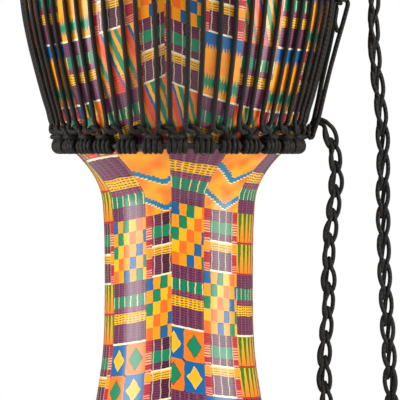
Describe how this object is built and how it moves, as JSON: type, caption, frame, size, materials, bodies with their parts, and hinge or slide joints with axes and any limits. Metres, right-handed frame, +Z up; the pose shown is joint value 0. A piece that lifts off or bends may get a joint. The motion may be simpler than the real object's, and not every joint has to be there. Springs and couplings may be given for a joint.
{
  "type": "djembe",
  "caption": "Rope-tuned goblet drum with a cloth-covered moulded shell, a skin head held by rings and rope, and a chained rope strap at one side.",
  "frame": {"origin": "on the drum's axis, on the floor under the foot", "axes": "+Z up along the drum's axis, the strap hangs on the +X side, the covering's front seam is near -Y"},
  "size_m": [0.3919, 0.3418, 0.61],
  "materials": {
    "shell": "moulded, fine grain inside",
    "cloth": "printed strip cloth glued on the shell under satin lacquer",
    "rubber": "matte",
    "skin": "scraped goat skin, dry",
    "steel": "black paint",
    "rope": "black braided rope, low stretch"
  },
  "bodies": {
    "drum": {"shell": "shell", "cloth_panel_left": "cloth", "cloth_panel_right": "cloth", "foot_edging": "rubber", "skin_head": "skin", "bottom_ring": "steel", "bottom_hitches": "rope", "bottom_loops": "rope", "tuning_rope": "rope", "lead_rope": "rope", "strap_chain": "rope"},
    "crown": {"flesh_hoop": "steel", "skin_collar": "skin", "crown_ring": "steel", "crown_hitches": "rope", "crown_loops": "rope", "lead_tie": "rope", "lead_tail": "rope", "strap_hitch": "rope"}
  },
  "joints": [
    {"name": "tuning_pull", "type": "slide", "parent": "drum", "child": "crown", "axis": [0, 0, -1], "range_m": [0, 0.006], "deforming": ["skin_collar", "tuning_rope", "lead_rope", "strap_chain"]}
  ]
}
